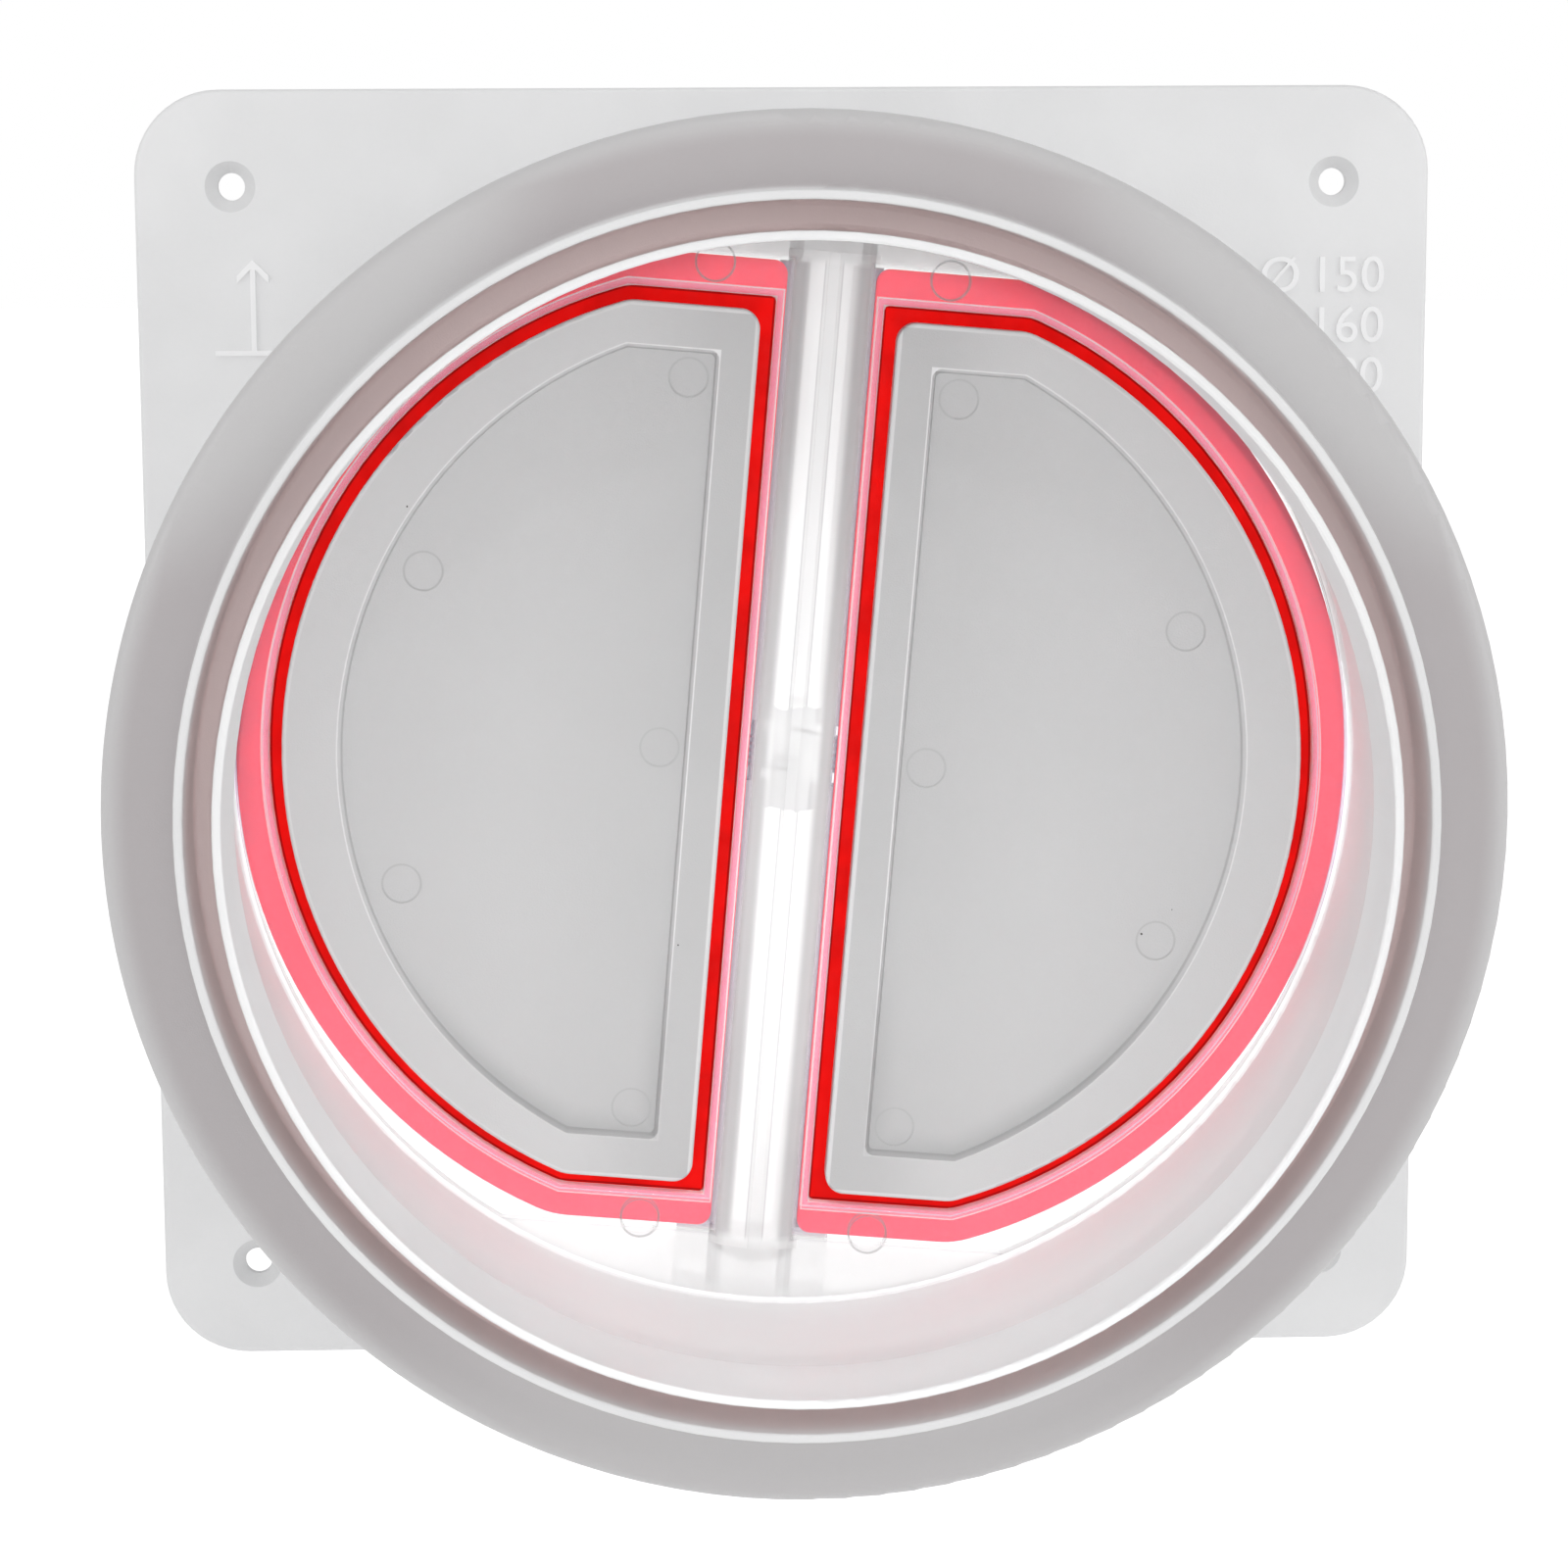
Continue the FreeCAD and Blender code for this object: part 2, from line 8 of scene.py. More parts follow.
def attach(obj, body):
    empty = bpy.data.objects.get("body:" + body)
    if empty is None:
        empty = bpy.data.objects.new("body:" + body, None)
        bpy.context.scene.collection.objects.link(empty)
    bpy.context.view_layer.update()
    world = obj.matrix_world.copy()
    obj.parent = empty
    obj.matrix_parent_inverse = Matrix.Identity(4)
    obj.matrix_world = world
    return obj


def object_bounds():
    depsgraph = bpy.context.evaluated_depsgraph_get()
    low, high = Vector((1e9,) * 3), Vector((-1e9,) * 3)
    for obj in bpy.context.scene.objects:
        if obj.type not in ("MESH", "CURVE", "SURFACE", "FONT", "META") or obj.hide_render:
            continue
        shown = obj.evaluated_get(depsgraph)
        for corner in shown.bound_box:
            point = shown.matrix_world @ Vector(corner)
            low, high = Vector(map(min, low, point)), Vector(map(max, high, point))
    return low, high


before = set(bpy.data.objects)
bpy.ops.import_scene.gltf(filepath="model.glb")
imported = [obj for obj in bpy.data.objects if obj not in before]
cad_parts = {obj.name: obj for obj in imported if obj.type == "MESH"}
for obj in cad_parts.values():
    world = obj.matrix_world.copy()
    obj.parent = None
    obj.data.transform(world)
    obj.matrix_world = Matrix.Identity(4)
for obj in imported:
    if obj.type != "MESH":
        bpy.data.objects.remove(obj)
CAD_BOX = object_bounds()

bl_info = {
    "name": "Backdraft damper",
    "version": (1, 0, 0),
    "blender": (4, 5, 0),
    "location": "View3D > Sidebar > Damper",
    "description": "Finishes, raised marks and studio for a wall-mounted backdraft damper",
    "category": "Object",
}

MM = 0.001
WHITE = (1.0, 1.0, 1.0, 1.0)
ACROSS_DUCT = (1.0, 0.0, 1.0)
DUCT_SIZES = (150, 160, 180)
SCREW_OFFSET = 81.0 * MM
PIN_MARK_RADII = (2.65 * MM, 2.85 * MM)
RAISED_NAME = "Raised mark plastic"

# The seat stands turned in the collar. Its windows and the flaps' sunk fields are Ds beside its bar.
SEAT_LEAN = math.radians(5.0)
WINDOW = {"Straight": 7.65 * MM, "Half": 64.85 * MM, "Centre": 5.95 * MM, "Radius": 68.65 * MM}
SUNK_FIELD = {"Straight": 15.0 * MM, "Half": 56.75 * MM, "Centre": 2.38 * MM, "Radius": 62.32 * MM}

# Places of ejector pin marks, across from the bar and along it, in millimetres.
SEAT_PINS = [(16.6, 69.05)]
FLAP_PINS = [(19.1, 0.0), (19.1, 52.65), (54.3, 22.47)]

# The camera fitted to the photograph, with the sensor's width and the lens in millimetres.
CAMERA_PLACE = (-17.7 * MM, -582.3 * MM, 78.7 * MM)
CAMERA_LOOK = (0.0294, 0.9886, -0.1479)
CAMERA_UP = (0.0093, 0.1477, 0.989)
CAMERA_SENSOR = 36.0
CAMERA_LENS = 89.67

# Soft lamps: name, place and width in metres.
SOFT_LAMPS = (
    ("top lamp", (0.1, -0.55, 1.0), 0.9),
    ("left lamp", (-0.95, -0.55, 0.45), 0.7),
    ("right lamp", (0.95, -0.55, 0.35), 0.7),
)


class DamperSizes(bpy.types.PropertyGroup):
    """Sizes of the raised marks and of the moulded surface."""

    plate_thickness: bpy.props.FloatProperty(
        name="Plate thickness", description="Thickness of the wall plate",
        default=3.0 * MM, unit="LENGTH"
    )
    mark_height: bpy.props.FloatProperty(
        name="Mark height", description="How far the marks stand out of the plate",
        default=0.45 * MM, unit="LENGTH"
    )
    number_size: bpy.props.FloatProperty(
        name="Number size", description="Type size of the duct sizes",
        default=7.5 * MM, unit="LENGTH"
    )
    number_pitch: bpy.props.FloatProperty(
        name="Number pitch", description="Distance between two rows of numbers",
        default=7.4 * MM, unit="LENGTH"
    )
    number_place: bpy.props.FloatVectorProperty(
        name="Number place", description="Right end of the first row's base line, across and up",
        default=(88.8 * MM, 64.9 * MM), size=2, unit="LENGTH"
    )
    arrow_place: bpy.props.FloatVectorProperty(
        name="Arrow place", description="Foot of the arrow, across and up",
        default=(-78.0 * MM, 56.8 * MM), size=2, unit="LENGTH"
    )
    arrow_length: bpy.props.FloatProperty(
        name="Arrow length", description="Height of the arrow",
        default=13.6 * MM, unit="LENGTH"
    )
    arrow_stroke: bpy.props.FloatProperty(
        name="Arrow stroke", description="Width of the arrow's lines",
        default=0.75 * MM, unit="LENGTH"
    )


class DamperColours(bpy.types.PropertyGroup):
    """Colours of the damper's finishes, and of the light and shade painted on some of them."""

    body: bpy.props.FloatVectorProperty(
        name="Body", description="White plastic of plate and collar",
        default=(0.87, 0.87, 0.875), subtype="COLOR"
    )
    shoulder: bpy.props.FloatVectorProperty(
        name="Shoulder", description="Painted shade on the face of the collar's step",
        default=(0.52, 0.49, 0.498), subtype="COLOR"
    )
    pale_shoulder: bpy.props.FloatVectorProperty(
        name="Shoulder painted light", description="Painted light on parts of the collar's step",
        default=(0.63, 0.62, 0.624), subtype="COLOR"
    )
    groove: bpy.props.FloatVectorProperty(
        name="Groove", description="Warm painted shade in the collar's groove",
        default=(1.0, 0.87, 0.86), subtype="COLOR"
    )
    seat: bpy.props.FloatVectorProperty(
        name="Seat", description="Milky clear plastic of the seat",
        default=(0.96, 0.96, 0.965), subtype="COLOR"
    )
    sleeve: bpy.props.FloatVectorProperty(
        name="Sleeve", description="Sleeve of the seat, which the seals redden",
        default=(0.85, 0.97, 0.97), subtype="COLOR"
    )
    veil: bpy.props.FloatVectorProperty(
        name="Seal pink painted", description="Painted pink on the seat's thin web, for the seals' light scattered in it",
        default=(0.94, 0.73, 1.0), subtype="COLOR"
    )
    flap: bpy.props.FloatVectorProperty(
        name="Flap", description="Grey-white plastic of the flaps",
        default=(0.475, 0.475, 0.478), subtype="COLOR"
    )
    seal: bpy.props.FloatVectorProperty(
        name="Seal", description="Red silicone of the seals",
        default=(0.86, 0.004, 0.003), subtype="COLOR"
    )
    steel: bpy.props.FloatVectorProperty(
        name="Steel", description="Drawn steel of pins and springs",
        default=(0.60, 0.60, 0.61), subtype="COLOR"
    )
    speck: bpy.props.FloatVectorProperty(
        name="Speck", description="Specks of dirt",
        default=(0.05, 0.045, 0.04), subtype="COLOR"
    )
    floor: bpy.props.FloatVectorProperty(
        name="Floor", description="Pale studio floor",
        default=(0.62, 0.62, 0.62), subtype="COLOR"
    )


class DamperStudio(bpy.types.PropertyGroup):
    """Levels of the studio's light."""

    front_level: bpy.props.FloatProperty(
        name="Front level", description="Brightness of the surroundings straight in front",
        default=1.16
    )
    side_level: bpy.props.FloatProperty(
        name="Side level", description="Brightness of the surroundings all round",
        default=0.35
    )
    back_level: bpy.props.FloatProperty(
        name="Back level", description="Brightness of the surroundings behind the plate",
        default=0.2
    )
    floor_glow: bpy.props.FloatProperty(
        name="Floor glow", description="Light that the floor gives to the damper",
        default=0.4
    )
    lamp_power: bpy.props.FloatProperty(
        name="Lamp power", description="Power of each soft lamp",
        default=2.2, unit="POWER"
    )
    seal_power: bpy.props.FloatProperty(
        name="Seal power", description="Power of the lamp that lights the seals alone",
        default=3.0, unit="POWER"
    )
    mouth_power: bpy.props.FloatProperty(
        name="Mouth power", description="Power of the narrow lamp that lights the mouth",
        default=8.5, unit="POWER"
    )
    sleeve_power: bpy.props.FloatProperty(
        name="Sleeve power", description="Power of each lamp that lights the seat alone",
        default=12.0, unit="POWER"
    )
    groove_power: bpy.props.FloatProperty(
        name="Groove power", description="Power of the lamp that lights the collar's groove",
        default=1.4, unit="POWER"
    )
    flap_power: bpy.props.FloatProperty(
        name="Flap power", description="Power of the lamp that lights the flaps low down",
        default=5.0, unit="POWER"
    )


def node(tree, kind, inputs=None, **settings):
    """A new node with its settings; its inputs are values, or sockets to join."""
    made = tree.nodes.new(kind)
    for name, value in settings.items():
        setattr(made, name, value)
    for key, value in (inputs or {}).items():
        if isinstance(value, bpy.types.NodeSocket):
            tree.links.new(value, made.inputs[key])
        else:
            made.inputs[key].default_value = value
    return made


def maths(tree, operation, first, second=0.5, third=0.0):
    """The result of one operation on up to three values."""
    return node(tree, "ShaderNodeMath", {0: first, 1: second, 2: third}, operation=operation).outputs[0]


def product(tree, *masks):
    """Masks multiplied with each other."""
    result = masks[0]
    for mask in masks[1:]:
        result = maths(tree, "MULTIPLY", result, mask)
    return result


def strongest(tree, *masks):
    """The highest of several masks."""
    result = masks[0]
    for mask in masks[1:]:
        result = maths(tree, "MAXIMUM", result, mask)
    return result


def vector_maths(tree, operation, first, second=(0.0, 0.0, 0.0)):
    """A node for one operation on vectors."""
    return node(tree, "ShaderNodeVectorMath", {0: first, 1: second}, operation=operation)


def noise(tree, place, scale, detail):
    """A noise texture's value at a place."""
    inputs = {"Vector": place, "Scale": scale, "Detail": detail}
    return node(tree, "ShaderNodeTexNoise", inputs).outputs[0]


def ramp(tree, value, low, high, start=0.0, end=1.0):
    """A smooth step from start to end as a value goes from low to high."""
    inputs = {"Value": value, "From Min": low, "From Max": high, "To Min": start, "To Max": end}
    return node(tree, "ShaderNodeMapRange", inputs, interpolation_type="SMOOTHSTEP").outputs[0]


def blend_colour(tree, factor, first, second):
    """Two colours mixed by a factor."""
    def full(colour):
        return colour if isinstance(colour, bpy.types.NodeSocket) else (*colour, 1.0)

    mix = node(tree, "ShaderNodeMix", {0: factor, 6: full(first), 7: full(second)}, data_type="RGBA")
    return mix.outputs[2]


def shaded(colour, share):
    """A colour made darker or lighter by a share."""
    return tuple(min(1.0, c * share) for c in colour)


def group_tree(name, inputs, outputs):
    """An empty shader group with its sockets, and its two end nodes."""
    tree = bpy.data.node_groups.new(name, "ShaderNodeTree")
    for label, kind in inputs:
        tree.interface.new_socket(label, in_out="INPUT", socket_type=kind)
    for label, kind in outputs:
        tree.interface.new_socket(label, in_out="OUTPUT", socket_type=kind)
    return tree, tree.nodes.new("NodeGroupInput").outputs, tree.nodes.new("NodeGroupOutput").inputs


def moulded_skin():
    """Group: the fine skin, slow clouds and handling haze of a moulded surface."""
    found = bpy.data.node_groups.get("Moulded skin")
    if found:
        return found
    tree, given, put = group_tree(
        "Moulded skin",
        [("Place", "NodeSocketVector"), ("Grain", "NodeSocketFloat"), ("Clouds", "NodeSocketFloat")],
        [("Cloud", "NodeSocketFloat"), ("Haze", "NodeSocketFloat"), ("Skin", "NodeSocketFloat")],
    )
    cloud = noise(tree, given["Place"], given["Clouds"], 2.0)
    haze = noise(tree, given["Place"], maths(tree, "MULTIPLY", given["Clouds"], 3.7), 2.0)
    tree.links.new(ramp(tree, cloud, 0.35, 0.65), put["Cloud"])
    tree.links.new(ramp(tree, haze, 0.3, 0.7), put["Haze"])
    tree.links.new(noise(tree, given["Place"], given["Grain"], 0.0), put["Skin"])
    return tree


def dirt_specks():
    """Group: a mask of a few small specks, by how thick they are sown."""
    found = bpy.data.node_groups.get("Dirt specks")
    if found:
        return found
    tree, given, put = group_tree(
        "Dirt specks",
        [("Place", "NodeSocketVector"), ("Share", "NodeSocketFloat")],
        [("Speck", "NodeSocketFloat")],
    )
    wobble = noise(tree, given["Place"], 2200.0, 1.0)
    cells = node(tree, "ShaderNodeTexVoronoi", {"Vector": given["Place"], "Scale": 240.0})
    pick = node(tree, "ShaderNodeSeparateColor", {0: cells.outputs["Color"]})
    chosen = maths(tree, "LESS_THAN", pick.outputs[0], given["Share"])
    size = maths(tree, "MULTIPLY_ADD", pick.outputs[1], 0.045, 0.025)
    ragged = maths(tree, "ADD", cells.outputs["Distance"], maths(tree, "MULTIPLY", wobble, 0.03))
    inside = maths(tree, "LESS_THAN", maths(tree, "SUBTRACT", ragged, 0.012), size)
    tree.links.new(product(tree, chosen, inside), put["Speck"])
    return tree


def duct_place():
    """Group: distance from the duct's axis, and depth along it, in metres."""
    found = bpy.data.node_groups.get("Duct place")
    if found:
        return found
    tree, given, put = group_tree(
        "Duct place",
        [("Place", "NodeSocketVector")],
        [("Radius", "NodeSocketFloat"), ("Depth", "NodeSocketFloat")],
    )
    flat = vector_maths(tree, "MULTIPLY", given["Place"], ACROSS_DUCT)
    radius = vector_maths(tree, "LENGTH", flat.outputs[0])
    parts = node(tree, "ShaderNodeSeparateXYZ", {0: given["Place"]})
    tree.links.new(radius.outputs["Value"], put["Radius"])
    tree.links.new(parts.outputs[1], put["Depth"])
    return tree


def dee_place():
    """Group: place beside the leaning bar, and distance out of a D on either side of it, in metres."""
    found = bpy.data.node_groups.get("D place")
    if found:
        return found
    tree, given, put = group_tree(
        "D place",
        [("Place", "NodeSocketVector"), ("Straight", "NodeSocketFloat"), ("Half", "NodeSocketFloat"),
         ("Centre", "NodeSocketFloat"), ("Radius", "NodeSocketFloat")],
        [("Across", "NodeSocketFloat"), ("Along", "NodeSocketFloat"), ("Beyond", "NodeSocketFloat")],
    )
    across = distance_along(tree, given["Place"], (math.cos(SEAT_LEAN), 0.0, -math.sin(SEAT_LEAN)))
    along = distance_along(tree, given["Place"], (math.sin(SEAT_LEAN), 0.0, math.cos(SEAT_LEAN)))
    from_centre = maths(tree, "SUBTRACT", across, given["Centre"])
    spot = node(tree, "ShaderNodeCombineXYZ", {0: from_centre, 1: along})
    reach = vector_maths(tree, "LENGTH", spot.outputs[0]).outputs["Value"]
    past_arc = maths(tree, "SUBTRACT", reach, given["Radius"])
    past_end = maths(tree, "SUBTRACT", along, given["Half"])
    past_side = maths(tree, "SUBTRACT", given["Straight"], across)
    tree.links.new(across, put["Across"])
    tree.links.new(along, put["Along"])
    tree.links.new(strongest(tree, past_side, past_arc, past_end), put["Beyond"])
    return tree


def distance_along(tree, place, way):
    """How far a place lies from the middle in a direction, either way."""
    return maths(tree, "ABSOLUTE", vector_maths(tree, "DOT_PRODUCT", place, way).outputs["Value"])


def band(tree, value, low, high, soft):
    """A mask that is 1 between two values, with soft ends."""
    return product(tree, ramp(tree, value, low - soft, low), ramp(tree, value, high, high + soft, 1.0, 0.0))


def pin_marks(tree, seat, spots):
    """A mask of the thin round outlines left by ejector pins, from places beside the bar."""
    here = node(tree, "ShaderNodeCombineXYZ", {0: seat["Across"], 1: seat["Along"]}).outputs[0]
    rings = []
    for across, along in spots:
        away = vector_maths(tree, "DISTANCE", here, (across * MM, along * MM, 0.0))
        rings.append(band(tree, away.outputs["Value"], *PIN_MARK_RADII, 0.1 * MM))
    return strongest(tree, *rings)


def use_group(tree, group, inputs):
    """A group placed in a material with its own values."""
    return node(tree, "ShaderNodeGroup", inputs, node_tree=group).outputs


def window_place(tree, place):
    """Place beside the bar, and distance out of the seat's two windows."""
    return use_group(tree, dee_place(), {"Place": place, **WINDOW})


def finish_material(name, **constants):
    """A material with one Principled shader; returns it, its tree, the shader and the place socket."""
    material = bpy.data.materials.new(name)
    material.use_nodes = True
    tree = material.node_tree
    tree.nodes.clear()
    shader = node(tree, "ShaderNodeBsdfPrincipled")
    for key, value in constants.items():
        shader.inputs[key.replace("_", " ")].default_value = value
    output = tree.nodes.new("ShaderNodeOutputMaterial")
    tree.links.new(shader.outputs[0], output.inputs[0])
    place = tree.nodes.new("ShaderNodeTexCoord").outputs["Object"]
    return material, tree, shader, place


def bump(tree, shader, height, distance, strength=1.0):
    """Small relief on a shader from a height in 0 to 1."""
    made = node(tree, "ShaderNodeBump", {"Height": height, "Distance": distance, "Strength": strength})
    tree.links.new(made.outputs[0], shader.inputs["Normal"])


def turned_lines(tree, distance):
    """Uneven fine lines, one after another along a distance."""
    inputs = {"W": maths(tree, "MULTIPLY", distance, 2600.0), "Scale": 1.0}
    return node(tree, "ShaderNodeTexNoise", inputs, noise_dimensions="1D").outputs[0]


def white_plastic(colours):
    """White moulded plastic: clouds, painted shade and light on the step, painted shade in the groove and
    round the screw holes, turned lines on the collar and specks.
    """
    material, tree, shader, place = finish_material("White moulded plastic", IOR=1.48)
    skin = use_group(tree, moulded_skin(), {"Place": place, "Grain": 5200.0, "Clouds": 46.0})
    duct = use_group(tree, duct_place(), {"Place": place})
    speck = use_group(tree, dirt_specks(), {"Place": place, "Share": 0.03})
    tone = blend_colour(tree, skin["Cloud"], shaded(colours.body, 0.98), shaded(colours.body, 1.015))
    # Painted shade and light on the step: its face is painted greyer than the body, and lighter low down, at
    # the upper sides and towards its rounded outer edge.
    face = ramp(tree, duct["Depth"], -91.3 * MM, -87.0 * MM, 1.0, 0.0)
    step = product(tree, face, ramp(tree, duct["Radius"], 79.9 * MM, 80.6 * MM))
    spot = node(tree, "ShaderNodeSeparateXYZ", {0: place}).outputs
    slant = product(tree, maths(tree, "ABSOLUTE", spot[0]), spot[2])
    low_down = ramp(tree, spot[2], -60.0 * MM, -84.0 * MM, 0.0, 0.75)
    upper_sides = ramp(tree, slant, 2200.0 * MM * MM, 3500.0 * MM * MM)
    edge = ramp(tree, duct["Radius"], 86.0 * MM, 89.6 * MM)
    lighter = strongest(tree, low_down, upper_sides, edge)
    shoulder = blend_colour(tree, lighter, colours.shoulder, colours.pale_shoulder)
    tone = blend_colour(tree, step, tone, shoulder)
    # Painted shade: the countersinks round the screw holes are painted darker.
    corner = vector_maths(tree, "ABSOLUTE", place).outputs[0]
    corner = vector_maths(tree, "MULTIPLY", corner, ACROSS_DUCT).outputs[0]
    screw = vector_maths(tree, "DISTANCE", corner, (SCREW_OFFSET, 0.0, SCREW_OFFSET))
    sink = ramp(tree, screw.outputs["Value"], 3.6 * MM, 3.8 * MM, 1.0, 0.0)
    tone = blend_colour(tree, sink, tone, shaded(colours.body, 0.9))
    # Painted shade: a warm tint on the floor and walls of the groove between the collar's rings, standing for
    # the shade deep in it.
    inner = ramp(tree, duct["Radius"], 74.7 * MM, 75.1 * MM)
    outer = ramp(tree, duct["Radius"], 78.6 * MM, 79.0 * MM, 1.0, 0.0)
    deep = ramp(tree, duct["Depth"], -97.5 * MM, -92.0 * MM)
    shallow = ramp(tree, duct["Depth"], -83.5 * MM, -83.0 * MM, 1.0, 0.0)
    tone = blend_colour(tree, product(tree, inner, outer, deep, shallow), tone, colours.groove)
    tone = blend_colour(tree, speck["Speck"], tone, colours.speck)
    tree.links.new(tone, shader.inputs["Base Color"])
    tree.links.new(ramp(tree, skin["Haze"], 0.0, 1.0, 0.36, 0.46), shader.inputs["Roughness"])
    lines = maths(tree, "ADD", turned_lines(tree, duct["Radius"]), turned_lines(tree, duct["Depth"]))
    lines = product(tree, lines, ramp(tree, duct["Depth"], -5.0 * MM, -4.0 * MM, 0.35, 0.0))
    bump(tree, shader, maths(tree, "ADD", lines, skin["Skin"]), 0.02 * MM)
    return material


def raised_plastic(colours):
    """The smoother, lighter plastic of the raised marks."""
    found = bpy.data.materials.get(RAISED_NAME)
    if found:
        return found
    material, tree, shader, place = finish_material(RAISED_NAME, IOR=1.48, Roughness=0.3)
    skin = use_group(tree, moulded_skin(), {"Place": place, "Grain": 5200.0, "Clouds": 46.0})
    tone = blend_colour(tree, skin["Cloud"], shaded(colours.body, 1.1), shaded(colours.body, 1.14))
    tree.links.new(tone, shader.inputs["Base Color"])
    return material


def milky_plastic(colours):
    """Milky clear plastic: nearly clear in the thin web, cloudier in the bar, the ends and the sleeve, with
    painted pink over the seals, painted shade on the bar and at the pin marks, and painted highlights at the
    window edges.
    """
    material, tree, shader, place = finish_material("Milky clear plastic", IOR=1.8, Specular_IOR_Level=1.0)
    skin = use_group(tree, moulded_skin(), {"Place": place, "Grain": 2600.0, "Clouds": 60.0})
    seat = window_place(tree, place)
    duct = use_group(tree, duct_place(), {"Place": place})
    sleeve = ramp(tree, duct["Radius"], 79.2 * MM, 80.2 * MM)
    bar = ramp(tree, seat["Across"], 4.8 * MM, 6.6 * MM, 1.0, 0.0)
    ends = ramp(tree, seat["Along"], 69.6 * MM, 71.0 * MM)
    lip = band(tree, seat["Beyond"], 0.0, 1.0 * MM, 0.1 * MM)
    # Painted highlight: the plastic is made cloudier, and so whiter, along the window edges and along the
    # outer edge of the lip.
    window_edge = band(tree, seat["Beyond"], -0.1 * MM, 0.1 * MM, 0.08 * MM)
    shine = strongest(tree, window_edge, band(tree, seat["Beyond"], 1.0 * MM, 1.12 * MM, 0.1 * MM))
    corner = band(tree, duct["Radius"], 79.5 * MM, 79.9 * MM, 0.25 * MM)
    outer = ramp(tree, seat["Beyond"], 4.9 * MM, 5.5 * MM)
    marks = pin_marks(tree, seat, SEAT_PINS)
    web_share = 0.11
    shares = (
        (bar, 0.62), (sleeve, 0.88), (ends, 0.58), (outer, 0.34), (lip, 0.24), (shine, 0.42), (marks, 0.42),
        (corner, 0.9),
    )
    cloudy = [product(tree, part, share) for part, share in shares]
    tree.links.new(maths(tree, "MAXIMUM", strongest(tree, *cloudy), web_share), shader.inputs["Alpha"])
    inside = maths(tree, "SUBTRACT", 1.0, strongest(tree, sleeve, ends))
    # Painted shade on the bar: its flanks are painted darker, its rib greyer, with a dark line at each side
    # of the rib.
    top = product(tree, ramp(tree, seat["Across"], 2.7 * MM, 4.2 * MM, 1.0, 0.0), inside)
    flank = product(tree, band(tree, seat["Across"], 3.7 * MM, 5.0 * MM, 1.4 * MM), inside)
    rib = product(tree, ramp(tree, seat["Across"], 1.1 * MM, 1.2 * MM, 1.0, 0.0), inside)
    groove = product(tree, band(tree, seat["Across"], 1.15 * MM, 1.3 * MM, 0.08 * MM), inside)
    ragged = maths(tree, "MULTIPLY_ADD", skin["Haze"], 1.2 * MM, seat["Along"])
    gate = product(tree, top, ramp(tree, ragged, 8.0 * MM, 8.3 * MM, 1.0, 0.0))
    # Painted light: the web over the seals is tinted pink, standing for the seals' red light scattered in the
    # milky plastic.
    uncovered = maths(tree, "SUBTRACT", 1.0, strongest(tree, bar, shine))
    covering = product(tree, band(tree, seat["Beyond"], 0.0, 4.8 * MM, 0.3 * MM), uncovered)
    tone = blend_colour(tree, skin["Cloud"], shaded(colours.seat, 0.985), shaded(colours.seat, 1.01))
    tone = blend_colour(tree, sleeve, tone, colours.sleeve)
    tone = blend_colour(tree, strongest(tree, ends, outer), tone, shaded(colours.seat, 0.8))
    tone = blend_colour(tree, covering, tone, colours.veil)
    tone = blend_colour(tree, flank, tone, shaded(colours.seat, 0.58))
    tone = blend_colour(tree, top, tone, shaded(colours.seat, 0.9))
    tone = blend_colour(tree, rib, tone, shaded(colours.seat, 0.76))
    tone = blend_colour(tree, groove, tone, shaded(colours.seat, 0.64))
    rough = blend_colour(tree, skin["Cloud"], shaded(colours.seat, 0.62), shaded(colours.seat, 0.7))
    tone = blend_colour(tree, gate, tone, rough)
    # Painted shade on the thin outlines of the ejector pin marks.
    tone = blend_colour(tree, marks, tone, shaded(colours.seat, 0.35))
    tree.links.new(tone, shader.inputs["Base Color"])
    gloss = ramp(tree, skin["Haze"], 0.0, 1.0, 0.16, 0.24)
    gloss = maths(tree, "ADD", gloss, maths(tree, "MULTIPLY", sleeve, 0.3))
    tree.links.new(gloss, shader.inputs["Roughness"])
    bump(tree, shader, skin["Skin"], 0.01 * MM)
    return material


